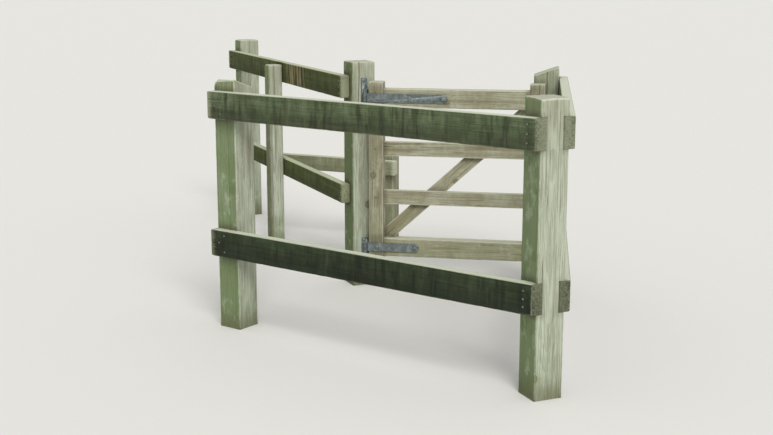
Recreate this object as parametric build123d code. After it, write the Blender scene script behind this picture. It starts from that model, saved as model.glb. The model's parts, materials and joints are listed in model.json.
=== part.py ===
from build123d import *
import math
import os

# Timber kissing gate. A leaf hangs on a post at the end of a fence and swings between the
# two arms of a V of posts and rails, so that one walker at a time steps round its end.
# The origin is the middle of the hanging post's foot. X runs along the fence line towards
# the point of the V, -Y is the track side, +Y the field side, and Z is up.

# Levels of the rails' top edges above the ground
top_rail_level = 1105.0
arm_lower_rail_level = 472.0
fence_lower_rail_level = 540.0
guard_rail_level = 520.0

# Rails
arm_rail_depth = 125.0
fence_top_rail_depth = 118.0
fence_lower_rail_depth = 102.0
guard_rail_depth = 90.0
rail_thickness = 44.0
rail_arris = 3.0
seat_clearance = 0.5

# Posts, and how far each stands above or below its top rail
post_side = 125.0
post_stand = 70.0
clapping_post_stand = 55.0
weathering_degrees = 19.5
prick_post_side = 82.0
prick_post_drop = 15.0
guard_post_side = 100.0
guard_post_stand = 70.0
post_arris = 4.0

# The V of the gate
apex_distance = 1890.0
arm_half_angle = 30.5
arm_length = 1607.0

# The bay of fence behind the hanging post
fence_bay = 2000.0
fence_rail_end_from_face = 45.0
prick_post_distance = 980.0

# The low guard rail in the corner behind the hanging post
guard_rail_start = 1336.0
guard_rail_degrees = 43.5
guard_rail_reach = 780.0
guard_rail_overhang = 80.0

# The swinging leaf
stile_width = 75.0
leaf_thickness = 70.0
leaf_foot_level = 140.0
leaf_head_drop = 25.0
frame_rail_depth = 95.0
frame_rail_margin = 35.0
middle_rail_depth = 75.0
middle_rail_thickness = 25.0
middle_rail_count = 2
tenon_thickness = 25.0
tenon_length = 50.0
tenon_shoulder = 12.0
tenon_clearance = 0.3
brace_width = 70.0
brace_thickness = 22.0
leaf_arris = 3.0
clap_overlap = 60.0
swing_clearance = 5.0

# Hooks and bands
pin_offset = 30.0
pin_radius = 8.0
pin_clearance = 0.5
pin_tip = 12.0
pin_tip_chamfer = 2.0
eye_wall = 5.5
eye_float = 0.3
hook_plate_width = 32.0
hook_plate_height = 130.0
hook_plate_thickness = 6.0
hook_arm_depth = 16.0
band_depth = 45.0
band_thickness = 6.0
upper_band_length = 400.0
lower_band_length = 260.0

# Sizes that follow
half_post = post_side / 2
post_height = top_rail_level + post_stand
clapping_post_height = top_rail_level + clapping_post_stand
prick_post_height = top_rail_level - prick_post_drop
guard_post_height = guard_rail_level + guard_post_stand
leaf_head_level = top_rail_level - leaf_head_drop
hinge_x = half_post + pin_offset
arm_cos = math.cos(math.radians(arm_half_angle))
arm_sin = math.sin(math.radians(arm_half_angle))
clapping_x = apex_distance - arm_length * arm_cos
clapping_y = arm_length * arm_sin
corner_x = clapping_x + half_post * arm_cos - half_post * arm_sin
corner_y = clapping_y - half_post * arm_sin - half_post * arm_cos
corner_distance = math.hypot(corner_x - hinge_x, corner_y)
corner_degrees = math.degrees(math.atan2(corner_y, corner_x - hinge_x))
half_leaf = leaf_thickness / 2
rest_degrees = corner_degrees - math.degrees(math.asin((half_leaf + swing_clearance) / corner_distance))
eye_radius = pin_radius + pin_clearance + eye_wall
leaf_start = eye_radius + band_thickness
leaf_reach = corner_distance + clap_overlap
heel_inner = leaf_start + stile_width
head_inner = leaf_reach - stile_width
frame_top_level = leaf_head_level - frame_rail_margin
frame_bottom_level = leaf_foot_level + frame_rail_margin + frame_rail_depth


def standing_post(side, height, fall_degrees=0.0):
    """A sawn post on its foot, with a top that falls towards +X to shed the rain."""
    half = side / 2
    drop = side * math.tan(math.radians(fall_degrees))
    outline = Polyline((-half, 0), (half, 0), (half, height - drop), (-half, height), close=True)
    body = extrude(Plane.XZ * make_face(outline), amount=half, both=True)
    return chamfer(body.edges().filter_by(lambda edge: edge.center().Z > 0), post_arris)


def sawn_rail(length, depth):
    """A rail along +X from the origin, its top at the origin's level, its back on y = 0."""
    bar = Box(length, rail_thickness, depth, align=(Align.MIN, Align.MAX, Align.MAX))
    return chamfer(bar.edges().filter_by(Axis.X), rail_arris)


def arm_frame(side):
    """Place and turn of an arm: its post's foot, X towards the point of the V."""
    return Pos(clapping_x, side * clapping_y, 0) * Rot(0, 0, -side * arm_half_angle)


def clapping_post(side):
    """The post that the leaf claps against, its top falling towards the inside of the V."""
    post = standing_post(post_side, clapping_post_height, weathering_degrees)
    return arm_frame(side) * Rot(0, 0, -90 * side) * post


def arm_rail(side, level):
    """An arm's rail, nailed to the outer faces of its clapping post and the apex post.

    Its near end is flush with the clapping post, and its far end with the apex post.
    """
    rail = sawn_rail(half_post + arm_length + post_side, arm_rail_depth)
    if side > 0:
        rail = mirror(rail, about=Plane.XZ)
    rail = arm_frame(side) * Pos(-half_post, side * half_post, level) * rail
    return split(rail, bisect_by=Plane.YZ.offset(apex_distance + half_post), keep=Keep.BOTTOM)


def apex_post():
    """The post at the point of the V, with a splayed seat cut for each of the four rails."""
    post = Pos(apex_distance, 0, 0) * standing_post(post_side, post_height)
    for side in (-1, 1):
        for level in (top_rail_level, arm_lower_rail_level):
            seat = Box(
                2 * post_side,
                post_side,
                arm_rail_depth + 2 * seat_clearance,
                align=(Align.CENTER, Align.MIN if side > 0 else Align.MAX, Align.MAX),
            )
            turn = Pos(apex_distance, 0, level + seat_clearance) * Rot(0, 0, -side * arm_half_angle)
            post -= turn * Pos(0, side * half_post, 0) * seat
    return post


def fence_rail(level, depth):
    """A rail of the fence bay, on the track faces of the hanging post and the end post."""
    length = fence_bay + post_side - fence_rail_end_from_face
    return Pos(-fence_bay - half_post, -half_post, level) * sawn_rail(length, depth)


def prick_post():
    """The thin post at mid bay, on the track side of the rails that it steadies."""
    y = -half_post - rail_thickness - prick_post_side / 2
    return Pos(-prick_post_distance, y, 0) * standing_post(prick_post_side, prick_post_height)


def guard_frame():
    """The line of the guard rail's back, from the fence rail's inner face."""
    return Pos(-guard_rail_start, -half_post, 0) * Rot(0, 0, guard_rail_degrees)


def guard_rail():
    """The low rail, with its end splayed to lie on the inner face of the fence rail."""
    spare = 3 * rail_thickness
    length = spare + guard_rail_reach + guard_rail_overhang
    rail = guard_frame() * Pos(-spare, 0, guard_rail_level) * sawn_rail(length, guard_rail_depth)
    return split(rail, bisect_by=Plane.XZ.offset(half_post), keep=Keep.BOTTOM)


def guard_post():
    """The short post that carries the far end of the guard rail."""
    middle = Pos(guard_rail_reach, guard_post_side / 2, 0)
    return guard_frame() * middle * standing_post(guard_post_side, guard_post_height)


def leaf_frame():
    """Place and turn of the leaf at rest: X from the hinge pins along the leaf."""
    return Pos(hinge_x, 0, 0) * Rot(0, 0, rest_degrees)


def leaf_levels():
    """Each leaf rail's top level, depth, thickness and tenon shoulder."""
    rails = {
        "leaf_top_rail": (frame_top_level, frame_rail_depth, leaf_thickness, tenon_shoulder),
        "leaf_bottom_rail": (frame_bottom_level, frame_rail_depth, leaf_thickness, tenon_shoulder),
    }
    clear = frame_top_level - frame_rail_depth - frame_bottom_level
    gap = (clear - middle_rail_count * middle_rail_depth) / (middle_rail_count + 1)
    for number in range(middle_rail_count):
        top = frame_top_level - frame_rail_depth - gap - number * (gap + middle_rail_depth)
        name = "leaf_middle_rail_" + str(number + 1)
        rails[name] = (top, middle_rail_depth, middle_rail_thickness, 0.0)
    return rails


def tenons(level, depth, shoulder, ease=0.0):
    """The two tenons of a leaf rail, or with some ease the mortises that take them."""
    height = depth - 2 * shoulder + 2 * ease
    length = head_inner - heel_inner + 2 * tenon_length + 2 * ease
    bar = Box(length, tenon_thickness + 2 * ease, height)
    return Pos((heel_inner + head_inner) / 2, 0, level - depth / 2) * bar


def leaf_rail(level, depth, thickness, shoulder):
    """A leaf rail between the stiles, with a tenon at each end."""
    middle = Pos((heel_inner + head_inner) / 2, 0, level - depth / 2)
    bar = Box(head_inner - heel_inner, thickness, depth)
    bar = chamfer(bar.edges().filter_by(Axis.X), leaf_arris)
    return middle * bar + tenons(level, depth, shoulder)


def leaf_stile(start):
    """An upright of the leaf, mortised for every rail."""
    height = leaf_head_level - leaf_foot_level
    corner = (Align.MIN, Align.CENTER, Align.MIN)
    stile = Box(stile_width, leaf_thickness, height, align=corner)
    stile = Pos(start, 0, leaf_foot_level) * chamfer(stile.edges(), leaf_arris)
    for level, depth, _, shoulder in leaf_levels().values():
        stile -= tenons(level, depth, shoulder, tenon_clearance)
    return stile


def leaf_brace():
    """The brace from the heel's foot to the head's top, on one face of the middle rails."""
    low = frame_bottom_level
    high = frame_top_level - frame_rail_depth
    run = head_inner - heel_inner
    slope = math.degrees(math.atan2(high - low, run))
    y = (middle_rail_thickness + brace_thickness) / 2
    bar = Box(2 * run, brace_thickness, brace_width)
    middle = Pos((heel_inner + head_inner) / 2, y, (low + high) / 2)
    window = Box(run - 2 * tenon_clearance, brace_thickness, high - low - 2 * tenon_clearance)
    return middle * (Rot(0, -slope, 0) * bar & window)


def gate_hook(level, pin_turn):
    """A hook on a plate. Its pin stands up, or hangs down where pin_turn is 180."""
    shoulder = band_depth / 2 + eye_float
    plate_middle = -shoulder - hook_arm_depth / 2
    plate = Pos(half_post - hinge_x, 0, plate_middle) * Box(
        hook_plate_thickness,
        hook_plate_width,
        hook_plate_height,
        align=(Align.MIN, Align.CENTER, Align.CENTER),
    )
    plate = chamfer(plate.edges().filter_by(Axis.X), hook_plate_thickness / 2)
    arm = Pos(half_post - hinge_x, 0, plate_middle) * Box(
        pin_offset,
        2 * pin_radius,
        hook_arm_depth,
        align=(Align.MIN, Align.CENTER, Align.CENTER),
    )
    collar = Pos(0, 0, plate_middle) * Cylinder(eye_radius, hook_arm_depth)
    pin_length = band_depth + eye_float + pin_tip
    upright = (Align.CENTER, Align.CENTER, Align.MIN)
    pin = Cylinder(pin_radius, pin_length, align=upright)
    pin = chamfer(pin.edges().group_by(Axis.Z)[-1], pin_tip_chamfer)
    hook = plate + arm + collar + Pos(0, 0, -shoulder) * pin
    return Pos(hinge_x, 0, level) * Rot(pin_turn, 0, 0) * hook


def band_hinge(level, length):
    """A band that clasps the heel of the leaf, with the eye that turns on a hook."""
    half = half_leaf + band_thickness
    start = eye_radius
    strap = Rectangle(length - start, band_depth, align=(Align.MIN, Align.CENTER))
    tip = Pos(length - start, 0) * Circle(band_depth / 2)
    outline = Plane.XZ * (strap + tip)
    band = Pos(start, 0, 0) * extrude(outline, amount=half, both=True)
    clasped = Box(
        2 * length,
        leaf_thickness,
        2 * band_depth,
        align=(Align.MIN, Align.CENTER, Align.CENTER),
    )
    band -= Pos(leaf_start, 0, 0) * clasped
    neck = Box(leaf_start, 2 * pin_radius, band_depth, align=(Align.MIN, Align.CENTER, Align.CENTER))
    eye = Cylinder(eye_radius, band_depth) + neck
    bore = Cylinder(pin_radius + pin_clearance, 2 * band_depth)
    return Pos(0, 0, level) * (band + eye - bore)


def make_parts():
    """Every piece of the gate, by name, in its place."""
    parts = {
        "hanging_post": standing_post(post_side, post_height),
        "track_clapping_post": clapping_post(-1),
        "field_clapping_post": clapping_post(1),
        "apex_post": apex_post(),
        "fence_end_post": Pos(-fence_bay, 0, 0) * standing_post(post_side, post_height),
        "fence_prick_post": prick_post(),
        "fence_top_rail": fence_rail(top_rail_level, fence_top_rail_depth),
        "fence_lower_rail": fence_rail(fence_lower_rail_level, fence_lower_rail_depth),
        "guard_post": guard_post(),
        "guard_rail": guard_rail(),
    }
    for name, side in (("track", -1), ("field", 1)):
        parts[name + "_arm_top_rail"] = arm_rail(side, top_rail_level)
        parts[name + "_arm_lower_rail"] = arm_rail(side, arm_lower_rail_level)

    upper_level = frame_top_level - frame_rail_depth / 2
    lower_level = frame_bottom_level - frame_rail_depth / 2
    parts["upper_gate_hook"] = gate_hook(upper_level, 180)
    parts["lower_gate_hook"] = gate_hook(lower_level, 0)

    place = leaf_frame()
    for name, sizes in leaf_levels().items():
        parts[name] = place * leaf_rail(*sizes)
    parts["leaf_heel_stile"] = place * leaf_stile(leaf_start)
    parts["leaf_head_stile"] = place * leaf_stile(head_inner)
    parts["leaf_brace"] = place * leaf_brace()
    parts["upper_band_hinge"] = place * band_hinge(upper_level, upper_band_length)
    parts["lower_band_hinge"] = place * band_hinge(lower_level, lower_band_length)
    return parts


os.makedirs("parts", exist_ok=True)
for node, solid in make_parts().items():
    export_step(solid, os.path.join("parts", node + ".step"))

print("leaf at rest, degrees from the fence line:", round(rest_degrees, 3))
print("leaf swing, degrees:", round(2 * rest_degrees, 3))
print("leaf reach:", round(leaf_reach, 1))
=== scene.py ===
# %% [markdown]
# A kissing gate, dressed from its packed frame
#
# A kissing gate lets walkers through a fence and keeps stock in. A small leaf hangs on a post
# at the end of the fence and swings between the two arms of a V. This notebook takes every size
# and place from the packed model, which is fixed, and gives it the look of sawn softwood that
# has stood outdoors for years. All lengths are metres, in the frame of the model: X runs along
# the fence towards the point of the V, -Y is the track side and Z is up.

# %% Load the frame
import json
import math
import random
from collections import namedtuple

import bmesh
import bpy
from mathutils import Matrix, Vector, noise
from mathutils.geometry import intersect_line_line

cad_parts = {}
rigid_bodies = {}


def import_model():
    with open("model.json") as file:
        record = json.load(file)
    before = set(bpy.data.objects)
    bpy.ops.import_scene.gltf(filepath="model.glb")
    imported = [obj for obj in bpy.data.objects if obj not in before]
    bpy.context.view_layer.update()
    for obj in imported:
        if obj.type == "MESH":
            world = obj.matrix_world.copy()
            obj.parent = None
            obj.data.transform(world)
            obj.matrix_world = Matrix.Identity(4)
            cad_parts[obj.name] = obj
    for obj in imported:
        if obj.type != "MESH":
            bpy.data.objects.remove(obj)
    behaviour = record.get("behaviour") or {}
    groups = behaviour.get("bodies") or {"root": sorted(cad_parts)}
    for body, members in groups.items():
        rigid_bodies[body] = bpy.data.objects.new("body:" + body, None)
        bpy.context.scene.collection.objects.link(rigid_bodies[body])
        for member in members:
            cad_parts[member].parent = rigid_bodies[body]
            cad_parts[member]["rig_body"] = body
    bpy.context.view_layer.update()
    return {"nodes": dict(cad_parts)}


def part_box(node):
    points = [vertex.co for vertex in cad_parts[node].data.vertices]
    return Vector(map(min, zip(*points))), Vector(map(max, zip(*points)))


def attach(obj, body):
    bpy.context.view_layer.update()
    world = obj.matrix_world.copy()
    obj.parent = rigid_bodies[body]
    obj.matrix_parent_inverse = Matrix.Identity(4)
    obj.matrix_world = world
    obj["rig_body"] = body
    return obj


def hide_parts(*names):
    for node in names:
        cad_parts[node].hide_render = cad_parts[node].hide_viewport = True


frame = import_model()


# %% [markdown]
# Colours are chosen and written as they would be on a screen, from 0 to 255. A shader
# works on linear light, so each one is converted once, here. The alternative, picking linear
# values directly, makes it hard to judge a colour by reading it.

# %% Colours


def colour(red, green, blue):
    """A screen colour, 0 to 255, as linear red, green, blue and a full alpha."""
    linear = []
    for value in (red, green, blue):
        level = value / 255
        linear.append(level / 12.92 if level <= 0.04045 else ((level + 0.055) / 1.055) ** 2.4)
    return (*linear, 1.0)


print("mid grey 128 is", round(colour(128, 128, 128)[0], 3), "in linear light")

# %% [markdown]
# A shader is a small drawing of boxes and wires. Written out call by call it hides the sum that
# it does, so one class stands for a wire and takes part in ordinary arithmetic. Each operator
# adds one Math node, and the reflected forms let a number stand on the left.

# %% A wire that can be used in sums


class Wire:
    """An output socket of a finish, which adds, takes away, multiplies and divides."""

    def __init__(self, finish, socket):
        self.finish = finish
        self.socket = socket

    def maths(self, operation, *terms):
        return self.finish.node("ShaderNodeMath", {"operation": operation}, dict(enumerate(terms)))

    def __add__(self, other):
        return self.maths("ADD", self, other)

    def __radd__(self, other):
        return self.maths("ADD", other, self)

    def __sub__(self, other):
        return self.maths("SUBTRACT", self, other)

    def __rsub__(self, other):
        return self.maths("SUBTRACT", other, self)

    def __mul__(self, other):
        return self.maths("MULTIPLY", self, other)

    def __rmul__(self, other):
        return self.maths("MULTIPLY", other, self)

    def __truediv__(self, other):
        return self.maths("DIVIDE", self, other)

    def __pow__(self, other):
        return self.maths("POWER", self, other)

    def fraction(self):
        return self.maths("FRACT", self)

    def largest(self, other):
        return self.maths("MAXIMUM", self, other)


print("a wire adds, takes away, multiplies and divides")

# %% [markdown]
# A material starts empty, and each finish draws its own nodes in it. Everything but the sums
# comes from one method, which takes the kind of node, its settings and what goes into its
# sockets. The others are short names for the few nodes that the finishes here keep using. All
# end in one Principled shader, with fine relief as a bump: fibres are too thin to model.

# %% A finish


class Finish:
    """A material and the short calls that draw its nodes."""

    def __init__(self, name):
        self.material = bpy.data.materials.new(name)
        self.material.use_nodes = True
        self.tree = self.material.node_tree
        self.tree.nodes.clear()

    def node(self, kind, settings=None, inputs=None, output=0):
        """One node: its kind, its settings, then what its sockets hold or are linked to."""
        made = self.tree.nodes.new(kind)
        for key, value in (settings or {}).items():
            setattr(made, key, value)
        for key, value in (inputs or {}).items():
            if isinstance(value, Wire):
                self.tree.links.new(value.socket, made.inputs[key])
            else:
                made.inputs[key].default_value = value
        return None if output is None else Wire(self, made.outputs[output])

    def stored(self, name, output="Vector"):
        """What the mesh stores at each point under this name."""
        settings = {"attribute_type": "GEOMETRY", "attribute_name": name}
        return self.node("ShaderNodeAttribute", settings, {}, output)

    def parts(self, vector):
        """The three numbers of a vector."""
        split = self.node("ShaderNodeSeparateXYZ", {}, {0: vector})
        outputs = split.socket.node.outputs
        return [Wire(self, outputs[number]) for number in range(3)]

    def vector(self, x, y, z):
        return self.node("ShaderNodeCombineXYZ", {}, {0: x, 1: y, 2: z})

    def stretched(self, vector, scales):
        return self.node("ShaderNodeVectorMath", {"operation": "MULTIPLY"}, {0: vector, 1: scales})

    def cloud(self, vector, detail=3.0, roughness=0.55, distortion=0.0):
        """Soft noise from 0 to 1, about one blotch to each unit of the vector."""
        inputs = {"Vector": vector, "Scale": 1.0, "Detail": detail}
        inputs["Roughness"] = roughness
        inputs["Distortion"] = distortion
        return self.node("ShaderNodeTexNoise", {"noise_dimensions": "3D"}, inputs)

    def cells(self, vector, scale, output="Distance"):
        return self.node("ShaderNodeTexVoronoi", {}, {"Vector": vector, "Scale": scale}, output)

    def ragged(self, vector, scale, reach):
        """The vector, pushed about by up to reach, so that what it draws has no neat edge."""
        push = self.node("ShaderNodeTexNoise", {}, {"Vector": vector, "Scale": scale}, "Color")
        inputs = {0: push, 1: (reach, reach, reach), 2: vector}
        return self.node("ShaderNodeVectorMath", {"operation": "MULTIPLY_ADD"}, inputs)

    def step(self, value, low, high):
        """0 below low, 1 above high and a smooth rise between them. It falls if low is above."""
        settings = {"interpolation_type": "SMOOTHSTEP"}
        inputs = {"Value": value, "From Min": low, "From Max": high}
        return self.node("ShaderNodeMapRange", settings, inputs)

    def blend(self, mask, under, over):
        """The colour under where mask is 0, and over where it is 1."""
        inputs = {0: mask, 6: under, 7: over}
        return self.node("ShaderNodeMix", {"data_type": "RGBA"}, inputs, 2)

    def surface(self, base, roughness, height=None, metallic=0.0, sheen=0.3):
        """Ends the finish in one Principled shader. Height is metres of relief."""
        inputs = {"Base Color": base, "Roughness": roughness, "Metallic": metallic}
        inputs["Specular IOR Level"] = sheen
        if height is not None:
            bump = {"Strength": 1.0, "Distance": 1.0, "Height": height}
            inputs["Normal"] = self.node("ShaderNodeBump", {}, bump)
        shader = self.node("ShaderNodeBsdfPrincipled", {}, inputs)
        self.node("ShaderNodeOutputMaterial", {}, {"Surface": shader}, None)
        return self.material


print("a finish can draw", ", ".join(name for name in vars(Finish) if name[0] != "_"))

# %% [markdown]
# Weathered timber is one solid recipe. Each mesh stores where its points lie in the tree and in
# the model, and where the weather has bitten, and the shader breaks those outlines up with
# noise. The noises come first, because most layers use several: some drawn out along the grain,
# as fibres are, and some upright in the model, as water runs. A picture wrapped round the timber
# would need neither, but it could not agree with itself at the corners.

# %% What a timber finish starts from
Tints = namedtuple("Tints", "pale middle dark algae stain rubbed bleached end")


class TimberFinish(Finish):
    """A timber finish as it is built up: what the mesh stores, the noises, the colour so far."""

    def __init__(self, name, tints):
        super().__init__(name)
        self.tints = Tints(*[colour(*tint) for tint in tints])
        self.base = self.tints.middle
        self.grain = self.stored("grain")
        self.place = self.stored("place")
        self.damp, self.worn, self.split = self.parts(self.stored("weather"))
        self.fall, self.upward, self.nailed = self.parts(self.stored("marks"))
        self.end = self.stored("end", "Fac")
        self.lodged = self.stored("lodged", "Fac")
        self.fibre = self.along_grain(9.0, 420.0, 2.0, 0.6)
        self.strand = self.along_grain(4.5, 150.0, 4.0, 0.65, 0.2)
        self.streak = self.along_grain(2.2, 52.0, 3.0, 0.6, 0.4)
        self.broad = self.along_grain(1.1, 13.0, 3.0, 0.5, 0.3)
        self.fleck = self.along_grain(26.0, 120.0, 3.0, 0.65)
        self.patch = self.in_place(5.0, 3.4, 4.0, 0.62)
        self.mottle = self.in_place(19.0, 11.0, 4.0, 0.68)

    def along_grain(self, along, across, *settings):
        """Noise in the tree's directions, with so many blotches a metre along and across."""
        return self.cloud(self.stretched(self.grain, (along, across, across)), *settings)

    def in_place(self, level, upright, *settings):
        """Noise in the model's directions, with so many blotches a metre level and upright."""
        return self.cloud(self.stretched(self.place, (level, level, upright)), *settings)

    def lay(self, mask, tint):
        """Lays a tint over the colour so far, where mask is 1."""
        self.base = self.blend(mask, self.base, tint)


print("a timber finish takes", ", ".join(Tints._fields))

# %% [markdown]
# Under everything is the wood. Rings are drawn round the heart of the tree, a line that runs near
# each timber, so the same sum gives circles on an end, arches on a broad face and stripes on an
# edge. Knots bend the rings about them. Old softwood shows silver fibres over darker streaks that
# have soaked through, and hairlines where the skin has shrunk.

# %% Rings, knots and fibres
RING_GAP = 0.0058
KNOT_SCALE = 6.5


def lay_wood(wood, soil, runs):
    """Lays fibres, soaked streaks, rings, knots and hairlines. Running dirt hides the hairlines."""
    tints = wood.tints
    _, across, through = wood.parts(wood.grain)
    knots = wood.cells(wood.stretched(wood.grain, (0.8, 1.0, 1.0)), KNOT_SCALE)
    wood.knot = wood.step(knots, 0.105, 0.092)
    knot_ring = wood.step((knots * 62.0).fraction(), 0.35, 0.8) * wood.knot
    knot_rim = wood.step(knots, 0.078, 0.092) * wood.knot
    swirl = wood.step(knots, 0.42, 0.05)
    wood.sway = wood.along_grain(1.6, 7.0, 2.0)
    from_heart = (across * across + through * through) ** 0.5
    wood.radius = from_heart + 0.03 * wood.sway + 0.014 * swirl
    ring = (wood.radius / RING_GAP).fraction()
    wood.late = wood.step(ring, 0.45, 0.85) * wood.step(ring, 1.0, 0.9)

    silvered = 0.3 * wood.streak + 0.35 * wood.strand + 0.15 * wood.fibre + 0.2 * wood.broad
    wood.silver = wood.step(silvered, 0.41, 0.59)
    wood.lay(wood.silver, tints.pale)
    wood.lay(wood.step(wood.patch, 0.5, 0.66) * soil * 0.45, tints.dark)
    wood.lay(wood.step(wood.fibre, 0.52, 0.36) * 0.3, tints.dark)
    wood.lay(wood.step(wood.strand, 0.47, 0.33) * 0.5, tints.dark)
    soaked = wood.step(0.6 * wood.streak + 0.4 * wood.broad, 0.49, 0.35) * soil
    wood.lay(soaked * 0.8, tints.dark)
    wood.lay(wood.late * 0.32, tints.dark)
    wood.lay(wood.step(knots, 0.2, 0.1) * 0.3, tints.dark)
    wood.lay(wood.knot * 0.75, tints.dark)
    wood.lay(knot_ring * 0.45, tints.stain)
    wood.lay(knot_rim * 0.75, tints.stain)
    wood.hairline = wood.step(wood.along_grain(4.5, 230.0, 1.0), 0.34, 0.27)
    wood.lay(wood.hairline * (0.65 - 0.4 * runs), tints.stain)


print("growth rings", RING_GAP, "apart, knots about", round(1 / KNOT_SCALE, 2))

# %% [markdown]
# A green film grows on the faces that stay damp, which the mesh stores, and is deepest where a face
# never dries. The stored value also holds painted shade for faces turned from the light, so the
# film and its deepest green are partly painted shade. Over it the skin is mottled, darker where
# soil has stuck and paler where rain has scoured it.

# %% Green film and mottling
DEEP_GREEN = colour(70, 84, 46)


def lay_film(wood, green, soil):
    """Lays the green film on damp faces, partly painted shade, then darker and paler mottling."""
    # The film follows the stored damp and painted shade, so shaded faces go greener and darker.
    spread = wood.damp * 1.25 + 0.55 * wood.patch + 0.1 * wood.fleck + 0.25 * wood.mottle
    wood.grown = wood.step(spread, 0.6, 1.15) * green
    wood.lay(wood.grown * 0.85, wood.tints.algae)
    # Deep green where that value is highest: painted shade as much as damp.
    sodden_and_shaded = wood.step(wood.damp + 0.3 * wood.patch, 0.86, 1.15)
    wood.lay(sodden_and_shaded * green * 0.5, DEEP_GREEN)
    wood.lay(wood.step(wood.mottle, 0.50, 0.66) * soil * 0.38, wood.tints.dark)
    wood.lay(wood.step(wood.mottle, 0.47, 0.33) * 0.30, wood.tints.pale)


print("deep green is", [round(level, 3) for level in DEEP_GREEN[:3]])

# %% [markdown]
# Rain runs down from every top edge. It leaves dark lines, rinses pale ones between them, and
# hangs at the lower edge of a rail, which goes darkest: water staining and painted shade. One
# stretch of the fence's top rail has lost its film, and tan wood shows there in upright runs. The
# runs fade with the distance below the top, because the water spreads out as it goes.

# %% Running water
RUN_FADE = (0.75, 0.1)
HANG_AND_SHADE_BAND = (0.045, 0.125)
BARE_STRETCH = (-0.84, -0.46)
BARE_HEIGHTS = (0.9, 1.0)
BARE_TAN = colour(158, 141, 104)


def lay_runs(wood, runs, hang_and_shade, tanned):
    """Lays running dirt, a rail's dark lower edge of water and painted shade, and a post's brown
    top.
    """
    tints = wood.tints
    run_cloud = wood.in_place(38.0, 5.0, 2.0, 0.5, 0.5)
    thin_run = wood.in_place(67.0, 11.0, 0.0, 0.5, 0.5)
    run_stretch = wood.step(wood.in_place(4.6, 1.2, 2.0), 0.38, 0.6)
    under_top = wood.step(wood.fall - 0.08 * wood.patch, *RUN_FADE) * (0.3 + 0.7 * run_stretch)
    frayed = 0.72 * run_cloud + 0.28 * thin_run + 0.08 * wood.strand + 0.22 * wood.mottle
    run = wood.step(frayed, 0.62, 0.80) * under_top
    wood.lay(run * runs * (1.0 - wood.end) * 0.62, tints.stain)
    rinsed = wood.step(frayed, 0.60, 0.44) * under_top
    wood.lay(rinsed * runs * (1.0 - wood.end) * 0.45, tints.pale)
    if tanned:
        near_top = wood.step(wood.fall - 0.12 * run_cloud, 0.15, -0.02)
        tan_run = wood.step(wood.strand + 0.5 * wood.streak, 0.72, 0.86)
        wood.lay(near_top * tan_run * tanned * (1.0 - wood.damp), BARE_TAN)
    if hang_and_shade:
        # Painted shade: a rail's lower band is laid darker, along with the water that hangs there.
        hanging_and_shaded = wood.step(wood.fall + 0.05 * run_cloud, *HANG_AND_SHADE_BAND)
        wood.lay(hanging_and_shaded * hang_and_shade * (1.0 - wood.end), tints.stain)


def lay_bare_stretch(wood, start, stop):
    """Lays tan wood and dark lines between two places on X, near the top of the fence."""
    abreast, _, high = wood.parts(wood.place)
    within = wood.step(abreast + 0.1 * wood.patch, start, start + 0.1)
    within = within * wood.step(abreast + 0.1 * wood.patch, stop, stop - 0.08)
    within = within * wood.step(high, *BARE_HEIGHTS)
    cloud = wood.in_place(90.0, 5.0, 3.0, 0.6, 0.2)
    wood.lay(within * wood.step(cloud, 0.48, 0.60) * 0.7, wood.tints.stain)
    wood.lay(within * wood.step(cloud, 0.52, 0.38) * 0.85, BARE_TAN)


print("runs fade out", RUN_FADE[0], "below a top edge")

# %% [markdown]
# An end shows rings and the rays that cross them, and drinks water, so it has a tint of its own.
# Tops are sun bleached and made paler still as painted top light. On the drier faces sits a grey
# crust in small ragged spots: cells of noise, of which a random few are picked. Scattered discs
# would look alike.

# %% Ends, tops and crust
CRUST_SCALE = 64.0
CRUST_TINT = colour(196, 202, 180)


def lay_ends_and_tops(wood):
    """Lays end grain with its rays, tops paled by bleaching and painted top light, and crust spots.
    """
    tints = wood.tints
    blotch = wood.step(0.6 * wood.patch + 0.4 * wood.fleck, 0.40, 0.58)
    end_base = wood.blend(blotch, tints.middle, tints.end)
    end_base = wood.blend(wood.late * 0.45, end_base, tints.dark)
    wood.lay(wood.end * 0.9, end_base)
    # Painted top light: faces that look up are laid paler, as well as sun bleached.
    bleached_and_lit_top = wood.step(wood.upward + 0.3 * wood.patch + 0.25 * wood.fleck, 0.62, 0.95)
    wood.lay(bleached_and_lit_top * (0.85 - 0.45 * wood.end), tints.bleached)

    _, across, through = wood.parts(wood.grain)
    round_heart = across.maths("ARCTAN2", across, through)
    ray_cloud = wood.cloud(wood.vector(round_heart * 5.0, wood.radius * 9.0, wood.sway), 2.0)
    wood.ray = wood.step(ray_cloud, 0.36, 0.29) * wood.end
    wood.lay(wood.ray * 0.7, tints.stain)

    crust_place = wood.ragged(wood.place, 160.0, 0.016)
    pick = wood.parts(wood.cells(crust_place, CRUST_SCALE, "Color"))[0]
    picked = wood.step(pick + 0.2 * wood.upward - 0.5 * wood.damp + 0.35 * wood.patch, 1.02, 1.1)
    spot = wood.step(wood.cells(crust_place, CRUST_SCALE) + 0.25 * wood.fleck, 0.46, 0.3)
    wood.crust = picked * spot
    wood.lay(wood.crust * 0.5, CRUST_TINT)


print("crust spots about", round(1 / CRUST_SCALE, 3), "wide")

# %% [markdown]
# Last come the marks of use, and painted shade. Arrises are rubbed pale, nails bleed a dark ring
# and a run, and rain splashes soil on the feet. Shade is painted in the corners between timbers,
# and the inside of a split is painted black as its shade, however the light falls. The relief adds
# up the same layers, so that light and colour agree: fibres stand up, late wood and hairlines lie
# deeper, and the saw left faint ridges.

# %% Marks of use, painted shade, and the whole timber finish
SPLASH_BAND = (0.16, 0.03)
# Painted shade: the inside of a split is laid near black, whatever the light.
SPLIT_SHADE_TINT = colour(24, 24, 17)


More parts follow.
